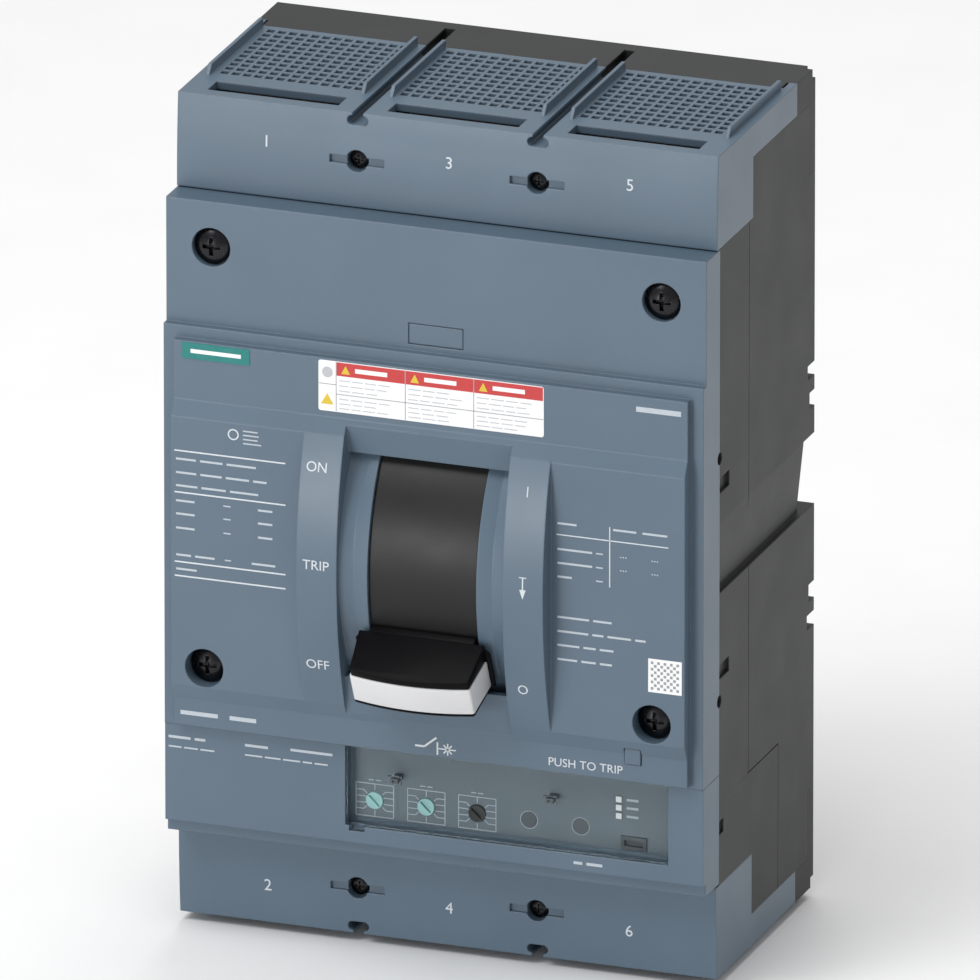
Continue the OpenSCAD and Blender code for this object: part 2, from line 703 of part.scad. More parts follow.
module arc_chute(x) color("#9fa3a7") for (i = [0:6]) difference() {
    bar(x, 20, [34.5 + i * 4.3, 36 + i * 4.3], [41, 97]);
    bar(x, 7, [30, 70], [40, 54]);
}

module arc_chute_left() arc_chute(poles[0]);
module arc_chute_centre() arc_chute(poles[1]);
module arc_chute_right() arc_chute(poles[2]);

module arc_chute_boards() color("#8c3b2c") for (x = poles, s = [-1, 1])
    block([x + s * 21.2 - 0.9, x + s * 21.2 + 0.9], [31, 63.5], [39, 99]);

// ---------------------------------------------------------------- trip unit

module trip_unit_housing() color("#3b3c3e") difference() {
    union() {
        difference() {
            across([-half_w, half_w]) polygon([
                [trip_seam_d, trip_top_z], [skin_d, trip_top_z], [skin_d, -cover_z], [67.6, -cover_z],
                [67.6, -notch_z], [trip_seam_d, -notch_z]]);
            pole_room([trip_seam_d - 1, 100.3], [-121, -94]);
            pole_room([trip_seam_d - 1, 68], [-144.6, -120]);
            for (x = phases) bar(x, 4.1, [trip_seam_d - 1, 68], [-144.6, -125]);
        }
        for (x = poles) bar(x, pad_half + 1, [trip_seam_d, pad_d[0] - 0.1], [-146, -126]);
        for (x = phases) forward_rod(6.3, x, [trip_seam_d, 60], -cover_screw_z);
    }
    for (x = poles) {
        bar(x, 8.6, [41, 51], [-97, trip_top_z + 1]);
        bar(x, pad_half + 0.5, [pad_d[0] - 0.5, pad_d[1] + 0.5], [-125, -120]);
        translate([x, -68, -bolt_z]) rotate([90, 0, 0]) cylinder(r = 11.2, h = 14, $fn = 6);
    }
    for (x = phases) {
        forward_rod(2.2, x, [25, 61], -cover_screw_z);
        forward_rod(7, x, [trip_seam_d - 1, 70], -mount_hole_z);
    }
    // Slit for the trip unit's locking hook
    both_sides() block([half_w - 1.2, half_w + 1], [98.5, skin_d + 1], [-104.3, -98.9]);
}

module trip_unit_cover() color("#6b7c8c") difference() {
    union() {
        block([-half_w, half_w], [skin_d, rim_d - 0.3], [unit_low_z, low_edge_z - 0.15]);
        block([-half_w, half_w], [skin_d, step_d], [unit_end_z, unit_low_z + 1]);
    }
    block([-half_w + 3, half_w - 3], [skin_d - 1, panel_d - 4], [unit_end_z + 3, low_edge_z - 3]);
    block([window_x[0] - 0.5, window_x[1] + 0.5], [panel_d, rim_d + 1], [window_z[0] - 0.5, low_edge_z + 1]);
    block([window_x[0] + 1, window_x[1] - 1], [panel_d - 5, panel_d + 1], [window_z[0] + 1, window_z[1] - 1]);
    for (x = window_x) cross_rod(0.85, [x - 2, x + 2], window_pivot_d, window_pivot_z);
    // Finger notch under the window's lower left corner
    block([-33, -27], [window_d[0] - 2, rim_d + 1], [window_z[0] - 2.6, window_z[0]]);
}

window_pivot_d = 119.4;
window_pivot_z = window_z[1] - 0.9;

module trip_unit_window() color([0.78, 0.86, 0.88, 0.35]) difference() {
    union() {
        block(window_x, window_d, [window_z[0], window_z[1] - 1]);
        cross_rod(0.9, window_x, window_pivot_d + 0.1, window_pivot_z);
        cross_rod(0.75, [window_x[0] - 1.8, window_x[1] + 1.8], window_pivot_d, window_pivot_z);
        block([-32.5, -27.5], [window_d[0], window_d[1]], [window_z[0] - 1.8, window_z[0] + 0.1]);
    }
    for (x = eyelet_x) bar(x, 2.6, [110, 125], [eyelet_z - 1.6, eyelet_z + 1.6]);
}

module trip_unit_panel() color("#616e78") difference() {
    block([window_x[0] + 1.1, window_x[1] - 1.1], [panel_d - 3.4, panel_d - 0.1], [window_z[0] + 1.1, window_z[1] - 1.1]);
    for (x = dial_x) forward_rod(dial_r + 0.15, x, [100, 120], dial_z);
    for (x = plug_x) forward_rod(dial_r, x, [panel_d - 1, 120], dial_z);
    for (z = led_z) bar(70.1, 1.2, [panel_d - 0.6, 120], [z - 1.2, z + 1.2]);
    bar(75.9, 5.1, [panel_d - 2, 120], [-110.1, -104.6]);
}

// Rotary setting switch with a screwdriver slot, turning about its own axis
module dial(i, tone) color(tone) translate([dial_x[i], 0, dial_z]) difference() {
    union() {
        forward_rod(dial_r, 0, [panel_d - 5, panel_d + 0.5], 0);
        forward_rod(dial_r - 1.2, 0, [105.5, panel_d - 4.9], 0);
    }
    rotate([0, 45, 0]) bar(0, dial_r - 0.6, [panel_d - 0.6, panel_d + 1], [-0.45, 0.45]);
}

module dial_overload() dial(0, "#a0c8c8");
module dial_delay() dial(1, "#a0c8c8");
module dial_short_circuit() dial(2, "#2c2c2e");

// Fixed pieces on the panel: blanking plugs, indicator lenses, test socket, seal eyelets
module panel_fittings() color("#55606a") {
    for (x = plug_x) forward_rod(dial_r - 0.2, x, [panel_d - 1, panel_d + 0.1], dial_z);
    for (z = led_z) bar(70.1, 1.15, [panel_d - 0.6, panel_d + 0.2], [z - 1.15, z + 1.15]);
    difference() {
        bar(75.9, 5, [panel_d - 2, panel_d + 0.4], [-110, -104.7]);
        bar(75.9, 3.6, [panel_d - 1.2, panel_d + 1], [-108.6, -106.2]);
    }
    for (x = eyelet_x) difference() {
        bar(x, 1.5, [panel_d, window_d[1] + 0.4], [eyelet_z - 0.9, eyelet_z + 0.9]);
        bar(x, 0.6, [window_d[1] - 0.8, window_d[1] + 1], [eyelet_z - 1, eyelet_z + 0.4]);
    }
}

module trip_unit_board() color("#2f6b46") difference() {
    block([-96, 96], [103.6, 105.2], [-119, -97]);
    for (x = [-88, 88]) forward_rod(1.6, x, [100, 106], -108);
}

// Current transformer: a ring core in a square case around one load conductor
module current_transformer(x) color("#26282b") difference() {
    bar(x, 27, [62, 99.5], [-119.5, -106.5]);
    bar(x, 14.5, [79.5, 90.5], [-121, -105]);
}

module current_transformer_left() current_transformer(poles[0]);
module current_transformer_centre() current_transformer(poles[1]);
module current_transformer_right() current_transformer(poles[2]);

module trip_bar() color("#d8d4c8") {
    cross_rod(4, [-98, 98], trip_bar_d, trip_bar_z);
    block([button_x - 4, button_x + 4], [trip_bar_d - 1, trip_bar_d + 3.9], [trip_bar_z + 2, button_z + 3]);
    // Latches behind the cradle's crossbar
    both_sides() {
        block([21.4, 25.2], [80.4, trip_bar_d - 1], [trip_bar_z - 2, trip_bar_z + 2]);
        block([21.4, 25.2], [80.4, 83.6], [trip_bar_z, -56]);
    }
    bar(actuator_x, 4, [actuator_d - 4, trip_bar_d - 2], [trip_bar_z - 1.5, trip_bar_z + 1.5]);
}

module trip_button() color("#6f8091") {
    bar(button_x, button_side / 2, [99, field_d + 0.6], [button_z - button_side / 2, button_z + button_side / 2]);
    bar(button_x, 4.2, [115.5, 117.5], [button_z - 4.2, button_z + 4.2]);
}

module trip_button_spring() color("#c7c9cb")
    translate([button_x, -103.8, button_z]) rotate([90, 0, 0]) coil(4.9, 0.4, 11, 5);

// Solenoid that turns the trip bar, with its plunger pointing down
module trip_actuator() color("#8b6a3c") difference() {
    bar(actuator_x, 8.5, [75, 93], [-64, -50]);
    translate([actuator_x, -actuator_d, -65]) cylinder(r = 3.05, h = 13);
}

module actuator_plunger() color("#b5b7ba")
    translate([actuator_x, -actuator_d, -78]) cylinder(r = 3, h = 25.5);

// ---------------------------------------------------------------- assembly

base_housing();
front_housing();
upper_rear_plate();
lower_rear_plate();
front_cover();
accessory_door();
upper_terminal_cover();
lower_terminal_cover();
terminal_cover_screws();
cover_screws();
housing_screws();
toggle_handle();
handle_cap();
toggle_shield();
toggle_yoke();
lever_pivot_pins();
mechanism_frame();
frame_spacers();
latch_cradle();
upper_links();
lower_links();
main_springs();
contact_shaft();
shaft_bearings();
moving_contact_left();
moving_contact_centre();
moving_contact_right();
moving_contact_tips();
line_terminal_left();
line_terminal_centre();
line_terminal_right();
fixed_contact_tips();
load_terminal_left();
load_terminal_centre();
load_terminal_right();
load_link_left();
load_link_centre();
load_link_right();
terminal_nuts();
arc_chute_left();
arc_chute_centre();
arc_chute_right();
arc_chute_boards();
current_transformer_left();
current_transformer_centre();
current_transformer_right();
trip_bar();
trip_button();
trip_button_spring();
trip_unit_housing();
trip_unit_cover();
trip_unit_panel();
trip_unit_window();
trip_unit_board();
dial_overload();
dial_delay();
dial_short_circuit();
panel_fittings();
trip_actuator();
actuator_plunger();
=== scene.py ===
"""Looks of the three-pole molded case breaker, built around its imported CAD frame.

Lengths inside the helpers are in millimetres and are turned into metres when a mesh is made.
"Depth" is the distance forward from the rear mounting face, so Y = -depth.
"""

import math
import random

import bmesh
import bpy
from mathutils import Matrix, Vector


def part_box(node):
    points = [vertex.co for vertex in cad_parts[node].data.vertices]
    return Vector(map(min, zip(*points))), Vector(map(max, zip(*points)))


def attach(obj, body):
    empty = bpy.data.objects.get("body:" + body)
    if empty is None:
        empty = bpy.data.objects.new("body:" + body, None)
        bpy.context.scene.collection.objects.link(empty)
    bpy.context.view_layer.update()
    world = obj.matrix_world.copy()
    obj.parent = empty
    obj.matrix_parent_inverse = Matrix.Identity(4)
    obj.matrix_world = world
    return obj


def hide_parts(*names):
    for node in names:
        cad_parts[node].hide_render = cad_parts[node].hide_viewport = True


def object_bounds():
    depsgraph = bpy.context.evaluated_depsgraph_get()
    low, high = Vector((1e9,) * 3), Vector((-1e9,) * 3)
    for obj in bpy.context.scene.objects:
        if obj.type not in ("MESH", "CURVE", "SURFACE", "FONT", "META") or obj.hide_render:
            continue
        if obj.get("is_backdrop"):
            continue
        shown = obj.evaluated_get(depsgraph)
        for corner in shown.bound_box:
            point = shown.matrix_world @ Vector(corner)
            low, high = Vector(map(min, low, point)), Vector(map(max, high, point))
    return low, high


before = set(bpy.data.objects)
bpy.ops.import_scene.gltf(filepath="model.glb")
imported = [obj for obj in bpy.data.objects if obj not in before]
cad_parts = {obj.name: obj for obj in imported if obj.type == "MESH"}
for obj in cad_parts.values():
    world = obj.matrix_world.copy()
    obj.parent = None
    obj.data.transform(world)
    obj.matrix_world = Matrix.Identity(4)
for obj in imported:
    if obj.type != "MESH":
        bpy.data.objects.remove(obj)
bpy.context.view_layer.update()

MM = 0.001

# ------------------------------------------------------------------ levels of the front, from the frame


def front_depth(node):
    """Depth of a CAD node's foremost point, in mm."""
    return -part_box(node)[0].y / MM


BAND_PEAK = front_depth("front_cover")
BAND_RISE = 8.6
PLATEAU = BAND_PEAK - BAND_RISE
FIELD = PLATEAU - 3.0
UNIT_FACE = front_depth("trip_unit_cover")
PANEL_FACE = front_depth("trip_unit_panel")
TERMINAL_FACE = front_depth("upper_terminal_cover")

BAND_MIDDLE = -10.2
BAND_HALF = 52.6
BAND_RADIUS = (BAND_HALF**2 + BAND_RISE**2) / (2 * BAND_RISE)
TERMINAL_RADIUS = 400.0
TERMINAL_ARC_TOP = 126.0

# Pivot of the toggle, and the angle at which its handle hangs below the horizontal when off
LEVER_PIVOT = (0.0, -58.6, -10.2)
OFF_ANGLE = 24.5


def flat(depth):
    return lambda x, z: depth


def band_surface(x, z):
    return BAND_PEAK - BAND_RADIUS + math.sqrt(BAND_RADIUS**2 - (z - BAND_MIDDLE) ** 2)


def terminal_surface(x, z):
    drop = TERMINAL_RADIUS - math.sqrt(TERMINAL_RADIUS**2 - (abs(z) - TERMINAL_ARC_TOP) ** 2)
    return TERMINAL_FACE - drop


# ------------------------------------------------------------------ material graphs


class Graph:
    """A node tree that is built in object coordinates, so grain sizes are real sizes."""

    def __init__(self, name):
        self.material = bpy.data.materials.new(name)
        self.material.use_nodes = True
        self.tree = self.material.node_tree
        self.tree.nodes.clear()
        self.coordinates = self.add("ShaderNodeTexCoord").outputs["Object"]

    def add(self, kind, values=None, **settings):
        node = self.tree.nodes.new(kind)
        for key, value in settings.items():
            setattr(node, key, value)
        for key, value in (values or {}).items():
            if isinstance(value, bpy.types.NodeSocket):
                self.tree.links.new(value, node.inputs[key])
            else:
                node.inputs[key].default_value = value
        return node

    def noise(self, size_mm, detail=3.0, stretch=(1, 1, 1), roughness=0.5):
        """Noise whose features are about size_mm across."""
        scaled = self.add("ShaderNodeMapping", {"Vector": self.coordinates, "Scale": stretch})
        node = self.add(
            "ShaderNodeTexNoise",
            {
                "Vector": scaled.outputs[0],
                "Scale": 1 / (size_mm * MM),
                "Detail": detail,
                "Roughness": roughness,
            },
        )
        return node.outputs["Fac"]

    def span(self, value, low, high, start=0.3, end=0.7):
        """Maps a noise value to the range low..high."""
        node = self.add(
            "ShaderNodeMapRange",
            {"Value": value, "From Min": start, "From Max": end, "To Min": low, "To Max": high},
        )
        return node.outputs["Result"]

    def math(self, operation, a, b):
        return self.add("ShaderNodeMath", {0: a, 1: b}, operation=operation).outputs[0]

    def mix(self, factor, a, b):
        node = self.add("ShaderNodeMix", data_type="RGBA")
        for socket, value in ((node.inputs[0], factor), (node.inputs[6], a), (node.inputs[7], b)):
            if isinstance(value, bpy.types.NodeSocket):
                self.tree.links.new(value, socket)
            else:
                socket.default_value = value
        return node.outputs[2]

    def rounded(self, radius_mm):
        """Normal of a slightly rounded edge, and how far it turns away from the flat face."""
        bevel = self.add("ShaderNodeBevel", {"Radius": radius_mm * MM}, samples=4).outputs[0]
        flat_normal = self.add("ShaderNodeNewGeometry").outputs["Normal"]
        compare = self.add("ShaderNodeVectorMath", {0: bevel, 1: flat_normal}, operation="DOT_PRODUCT")
        return bevel, self.span(compare.outputs["Value"], 1.0, 0.0, 0.72, 0.99)

    def bump(self, height, depth_mm, normal=None):
        values = {"Height": height, "Distance": depth_mm * MM, "Strength": 1.0}
        if normal is not None:
            values["Normal"] = normal
        return self.add("ShaderNodeBump", values).outputs[0]

    def surface(self, **values):
        shader = self.add("ShaderNodeBsdfPrincipled", values)
        out = self.add("ShaderNodeOutputMaterial")
        self.tree.links.new(shader.outputs[0], out.inputs["Surface"])
        return self.material


def tone(colour, factor):
    return tuple(min(1.0, c * factor) for c in colour[:3]) + (1.0,)


def moulded(
    name, colour, roughness=0.45, grain_mm=0.55, grain_depth=0.012, wear_and_highlight=0.45, edge_mm=0.7, specular=0.5
):
    """Moulded thermoplastic: fine spark-eroded grain, slight colour drift, edges lightened by rubbed wear and
    a painted edge highlight.
    """
    g = Graph(name)
    drift = g.span(g.noise(38, 3), 0.0, 1.0)
    speckle = g.span(g.noise(grain_mm, 2), 0.0, 1.0)
    base = g.mix(drift, tone(colour, 0.955), tone(colour, 1.045))
    base = g.mix(g.math("MULTIPLY", speckle, 0.35), base, tone(colour, 1.07))
    normal, edge = g.rounded(edge_mm)
    # Edges lightened towards a paler tone where the rounded-edge normal turns: partly rubbed wear, partly a
    # painted highlight, varied by noise
    rub_and_highlight = g.math("MULTIPLY", edge, g.span(g.noise(7, 3), 0.35 * wear_and_highlight, wear_and_highlight))
    light = tuple(c + (0.8 - c) * 0.16 for c in tone(colour, 1.25)[:3]) + (1.0,)
    base = g.mix(rub_and_highlight, base, light)
    patches = g.span(g.noise(22, 4), roughness - 0.025, roughness + 0.03)
    rough = g.math("ADD", patches, g.math("MULTIPLY", speckle, 0.04))
    return g.surface(
        **{
            "Base Color": base,
            "Roughness": g.math("SUBTRACT", rough, g.math("MULTIPLY", edge, 0.06)),
            "Normal": g.bump(g.noise(grain_mm, 3), grain_depth, normal),
            "Specular IOR Level": specular,
        }
    )


def metal(name, colour, roughness=0.32, brushed=(1, 1, 1), scratch_mm=1.2, depth=0.006, dull=0.25):
    """Bare or plated metal with fine marks, duller patches and a painted highlight along the edges."""
    g = Graph(name)
    marks = g.noise(scratch_mm, 6, brushed, 0.65)
    patches = g.span(g.noise(9, 4), 0.0, 1.0)
    base = g.mix(g.math("MULTIPLY", patches, dull), tone(colour, 1.0), tone(colour, 0.62))
    base = g.mix(g.span(marks, 0.0, 0.3), base, tone(colour, 1.2))
    normal, edge = g.rounded(0.35)
    # Painted highlight: base colour lightened along edges where the rounded-edge normal turns
    base = g.mix(g.math("MULTIPLY", edge, 0.5), base, tone(colour, 1.35))
    rough = g.math("ADD", g.span(marks, roughness - 0.07, roughness + 0.1), g.math("MULTIPLY", patches, 0.08))
    return g.surface(
        **{
            "Base Color": base,
            "Metallic": 1.0,
            "Roughness": rough,
            "Normal": g.bump(marks, depth, normal),
        }
    )


def fibre_board(name, colour):
    """Vulcanised fibre: long streaks with a dry surface."""
    g = Graph(name)
    streaks = g.noise(1.4, 5, (1, 1, 0.12), 0.7)
    base = g.mix(g.span(streaks, 0.0, 1.0), tone(colour, 0.8), tone(colour, 1.18))
    normal, edge = g.rounded(0.3)
    # Painted highlight: base colour lightened along edges where the rounded-edge normal turns
    base = g.mix(g.math("MULTIPLY", edge, 0.4), base, tone(colour, 1.5))
    return g.surface(
        **{
            "Base Color": base,
            "Roughness": g.span(g.noise(3, 3), 0.66, 0.82),
            "Normal": g.bump(streaks, 0.03, normal),
        }
    )


def circuit_board(name, colour):
    """Solder mask over copper tracks that run in a square pattern."""
    g = Graph(name)
    scaled = g.add("ShaderNodeMapping", {"Vector": g.coordinates, "Rotation": (math.pi / 2, 0, 0)})
    tracks = g.add(
        "ShaderNodeTexBrick",
        {
            "Vector": scaled.outputs[0],
            "Scale": 150.0,
            "Mortar Size": 0.06,
            "Mortar Smooth": 0.2,
            "Color1": tone(colour, 0.9),
            "Color2": tone(colour, 1.05),
            "Mortar": tone(colour, 1.6),
        },
    )
    grime = g.span(g.noise(6, 3), 0.0, 0.3)
    return g.surface(
        **{
            "Base Color": g.mix(grime, tracks.outputs["Color"], tone(colour, 0.7)),
            "Roughness": g.span(g.noise(4, 3), 0.28, 0.4),
            "Normal": g.bump(tracks.outputs["Fac"], 0.03),
        }
    )


WINDOW_EDGE = (0.25, 0.52, 0.5, 1)


def clear_plastic(name, tint):
    """Clear polycarbonate with faint smears."""
    g = Graph(name)
    smear = g.noise(11, 4, (1, 1, 0.4))
    normal, edge = g.rounded(0.3)
    smeared = g.mix(g.span(smear, 0, 0.2), tint, tone(tint, 0.94))
    return g.surface(
        **{
            "Base Color": g.mix(g.math("MULTIPLY", edge, 0.8), smeared, WINDOW_EDGE),
            "Roughness": g.span(smear, 0.03, 0.12),
            "Transmission Weight": 1.0,
            "IOR": 1.12,
            "Normal": g.bump(g.noise(30, 2), 0.01, normal),
        }
    )


def ink(name, colour, roughness=0.5):
    """Printed ink or a thin film: slightly uneven cover and sheen."""
    g = Graph(name)
    cover = g.noise(0.7, 4)
    base = g.mix(g.span(cover, 0.0, 1.0), tone(colour, 0.93), tone(colour, 1.03))
    return g.surface(
        **{
            "Base Color": base,
            "Roughness": g.span(g.noise(5, 3), roughness - 0.06, roughness + 0.08),
            "Normal": g.bump(cover, 0.004),
        }
    )


def studio_floor():
    g = Graph("studio_floor")
    base = g.mix(g.span(g.noise(60, 3), 0, 1), (0.94, 0.94, 0.94, 1), (0.96, 0.96, 0.96, 1))
    return g.surface(**{"Base Color": base, "Roughness": g.span(g.noise(25, 3), 0.8, 0.9)})


BLUE_GREY = (0.1, 0.147, 0.197)
BLACK_HOUSING = (0.02, 0.021, 0.0225)

FINISHES = {
    "black_housing": lambda n: moulded(n, BLACK_HOUSING, 0.5, 0.7, 0.02, 0.35),
    "black_plate": lambda n: moulded(n, tone(BLACK_HOUSING, 0.92), 0.52, 0.7, 0.02, 0.3),
    "blue_grey_cover": lambda n: moulded(n, BLUE_GREY, 0.31, 0.5, 0.005, 0.4, 0.7, 0.45),
    "blackened_screw": lambda n: metal(n, (0.035, 0.035, 0.038), 0.2, (1, 1, 1), 0.9, 0.004),
    "zinc_steel": lambda n: metal(n, (0.56, 0.57, 0.59), 0.3, (1, 1, 0.2)),
    "spring_steel": lambda n: metal(n, (0.6, 0.61, 0.63), 0.25, (1, 1, 1), 0.6),
    "handle_black": lambda n: moulded(n, (0.0035, 0.003, 0.0038), 0.34, 0.45, 0.004, 0.06, 0.7, 0.07),
    "cap_white": lambda n: moulded(n, (0.7, 0.7, 0.71), 0.4, 0.45, 0.005, 0.3, 0.5),
    "shield_black": lambda n: moulded(n, (0.012, 0.012, 0.0125), 0.36, 0.6, 0.006, 0.15, 0.6, 0.3),
    "red_brown_moulding": lambda n: moulded(n, (0.2, 0.03, 0.018), 0.5, 0.8, 0.03, 0.4),
    "bearing_plastic": lambda n: moulded(n, (0.6, 0.55, 0.43), 0.45, 0.6, 0.01, 0.3),
    "copper": lambda n: metal(n, (0.72, 0.36, 0.2), 0.28, (1, 1, 0.12)),
    "silver_tip": lambda n: metal(n, (0.78, 0.78, 0.8), 0.35, (1, 1, 1), 0.5),
    "chute_steel": lambda n: metal(n, (0.42, 0.43, 0.45), 0.42, (0.2, 1, 1), 1.0, 0.008, 0.4),
    "chute_fibre": lambda n: fibre_board(n, (0.27, 0.07, 0.04)),
    "transformer_case": lambda n: moulded(n, (0.02, 0.021, 0.024), 0.38, 0.5, 0.01, 0.3),
    "panel_grey": lambda n: moulded(n, (0.14, 0.173, 0.2), 0.4, 0.4, 0.006, 0.3, 0.3),
    "fittings_grey": lambda n: moulded(n, (0.085, 0.1, 0.115), 0.42, 0.4, 0.006, 0.5, 0.3),
    "clear_window": lambda n: clear_plastic(n, (0.94, 0.975, 0.98, 1)),
    "circuit_board": lambda n: circuit_board(n, (0.025, 0.13, 0.06)),
    "dial_teal": lambda n: moulded(n, (0.36, 0.62, 0.61), 0.4, 0.3, 0.004, 0.4, 0.3),
    "dial_dark": lambda n: moulded(n, (0.02, 0.02, 0.022), 0.35, 0.3, 0.004, 0.5, 0.3),
    "coil_body": lambda n: fibre_board(n, (0.36, 0.2, 0.07)),
}

materials = {slot: make("look_" + slot) for slot, make in FINISHES.items()}
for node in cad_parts.values():
    for place in node.material_slots:
        if place.material and place.material.name in materials:
            place.material = materials[place.material.name]

INK_WHITE = ink("ink_white", (0.66, 0.7, 0.74))
INK_DIM = ink("ink_dim", (0.5, 0.55, 0.6))
INK_GREY = ink("ink_grey", (0.3, 0.31, 0.33))
LABEL_TEXT = ink("label_text", (0.5, 0.51, 0.53))
INK_RED = ink("ink_red", (0.56, 0.035, 0.035), 0.35)
INK_AMBER = ink("ink_amber", (0.72, 0.52, 0.03), 0.35)
LABEL_FILM = ink("label_film", (0.9, 0.9, 0.91), 0.35)
BADGE_TEAL = ink("badge_teal", (0.004, 0.2, 0.185), 0.3)

# ------------------------------------------------------------------ making pieces


def add_piece(name, mesh, material, body):
    piece = bpy.data.objects.new(name, mesh)
    bpy.context.scene.collection.objects.link(piece)
    piece.data.materials.clear()
    piece.data.materials.append(material)
    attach(piece, body)
    return piece


def smooth(mesh, angle=35):
    mesh.polygons.foreach_set("use_smooth", [True] * len(mesh.polygons))
    mesh.set_sharp_from_angle(angle=math.radians(angle))


def from_bmesh(name, bm):
    bmesh.ops.recalc_face_normals(bm, faces=bm.faces)
    mesh = bpy.data.meshes.new(name)
    bm.to_mesh(mesh)
    bm.free()
    return mesh


class Artwork:
    """Flat shapes in X and Z that are laid on a surface as thin closed plates."""

    def __init__(self):
        self.bm = bmesh.new()

    def polygon(self, points):
        self.bm.faces.new([self.bm.verts.new((x, 0, z)) for x, z in points])

    def box(self, x, z):
        self.polygon([(x[0], z[0]), (x[1], z[0]), (x[1], z[1]), (x[0], z[1])])

    def line(self, a, b, width):
        """A straight stroke, cut into short runs so that it can follow a curved face."""
        along = Vector((b[0] - a[0], b[1] - a[1]))
        side = Vector((-along.y, along.x)).normalized() * width / 2
        runs = max(1, round(along.length / 8))
        for i in range(runs):
            p, q = Vector(a) + along * (i / runs), Vector(a) + along * ((i + 1) / runs)
            self.polygon([tuple(p - side), tuple(q - side), tuple(q + side), tuple(p + side)])

    def rounded_box(self, x, z, radius, steps=6):
        corners = [(x[1] - radius, z[1] - radius, 0), (x[0] + radius, z[1] - radius, 90),
                   (x[0] + radius, z[0] + radius, 180), (x[1] - radius, z[0] + radius, 270)]
        points = []
        for cx, cz, start in corners:
            for i in range(steps + 1):
                a = math.radians(start + 90 * i / steps)
                points.append((cx + radius * math.cos(a), cz + radius * math.sin(a)))
        self.polygon(points)

    def ring(self, centre, radius, width, steps=40):
        outer, inner = radius + width / 2, radius - width / 2
        turn = [(math.cos(2 * math.pi * i / steps), math.sin(2 * math.pi * i / steps)) for i in range(steps)]
        rims = [[self.bm.verts.new((centre[0] + r * c, 0, centre[1] + r * s)) for c, s in turn]
                for r in (outer, inner)]
        for i in range(steps):
            j = (i + 1) % steps
            self.bm.faces.new([rims[0][i], rims[0][j], rims[1][j], rims[1][i]])

    def disc(self, centre, radius, steps=24):
        self.polygon([(centre[0] + radius * math.cos(2 * math.pi * i / steps),
                       centre[1] + radius * math.sin(2 * math.pi * i / steps)) for i in range(steps)])

    def word(self, text, centre, height, weight=0.0):
        """Plain capitals or digits, centred on a point."""
        curve = bpy.data.curves.new("word", "FONT")
        curve.body, curve.size = text, height / 0.72
        curve.align_x, curve.align_y = "CENTER", "CENTER"
        curve.resolution_u, curve.offset = 4, weight
        source = bpy.data.objects.new("word", curve)
        bpy.context.scene.collection.objects.link(source)
        bpy.context.view_layer.update()
        mesh = bpy.data.meshes.new_from_object(source.evaluated_get(bpy.context.evaluated_depsgraph_get()))
        mesh.transform(Matrix.Translation((centre[0], 0, centre[1])) @ Matrix.Rotation(math.pi / 2, 4, "X"))
        self.bm.from_mesh(mesh)
        bpy.data.objects.remove(source)
        bpy.data.curves.remove(curve)
        bpy.data.meshes.remove(mesh)

    def dashes(self, start, lengths, height, gap=1.6):
        """A line of small print, shown as plain dashes."""
        x = start[0]
        for length in lengths:
            self.box((x, x + length), (start[1] - height / 2, start[1] + height / 2))
            x += length + gap

    def lay(self, name, surface, material, rise=0.07, sink=0.03):
        """Turns the shapes into closed plates on a surface of the housing."""
        bmesh.ops.remove_doubles(self.bm, verts=self.bm.verts, dist=1e-5)
        bm, laid = self.bm, bmesh.new()
        bm.verts.index_update()
        layers = []
        for offset in (-sink, rise):
            layers.append([
                laid.verts.new((v.co.x * MM, -(surface(v.co.x, v.co.z) + offset) * MM, v.co.z * MM))
                for v in bm.verts
            ])
        for face in bm.faces:
            corners = [v.index for v in face.verts]
            laid.faces.new([layers[1][i] for i in corners])
            laid.faces.new([layers[0][i] for i in reversed(corners)])
        for edge in bm.edges:
            if edge.is_boundary:
                a, b = (v.index for v in edge.verts)
                laid.faces.new([layers[0][a], layers[0][b], layers[1][b], layers[1][a]])
        bm.free()
        return add_piece(name, from_bmesh(name, laid), material, "housing")


def greeked(rng, width, gap=1.5, longest=13.0):
    """Lengths of dashes that fill about the given width."""
    lengths = []
    while sum(lengths) + gap * len(lengths) < width - 4:
        room = width - sum(lengths) - gap * len(lengths)
        lengths.append(min(room, rng.uniform(3.5, longest)))
    return lengths


# ------------------------------------------------------------------ toggle handle


def lever_point(x, radius, t):
    """A point given across, by its radius from the pivot, and above the handle's middle plane."""
    turn = Matrix.Rotation(math.radians(OFF_ANGLE), 3, "X")
    return (Vector(LEVER_PIVOT) + turn @ Vector((x, -radius, t))) * MM


HANDLE_TIP = 95.7
BOW_RADIUS = 121.0
HANDLE_ROOT = 75.8
HALF_AT_ROOT, HALF_AT_TIP = 24.9, 23.5
CAP_T = (-5.8, 6.2)
TOP_AT_TIP, TOP_AT_ROOT = 9.1, 12.9
SKIRT_HALF, SKIRT_FRONT, SHOULDER_START = 26.2, 77.4, 20.5
NECK_HALF, NECK_ROOT, NECK_FRONT = 20.3, 73.1, 77.0
BAND_ROOT, CAP_WALL = 77.5, 1.9


def tip_radius_at(x, inset=0.0):
    """Radius of the handle's bowed front edge at x."""
    return HANDLE_TIP - BOW_RADIUS + math.sqrt((BOW_RADIUS - inset) ** 2 - x * x)


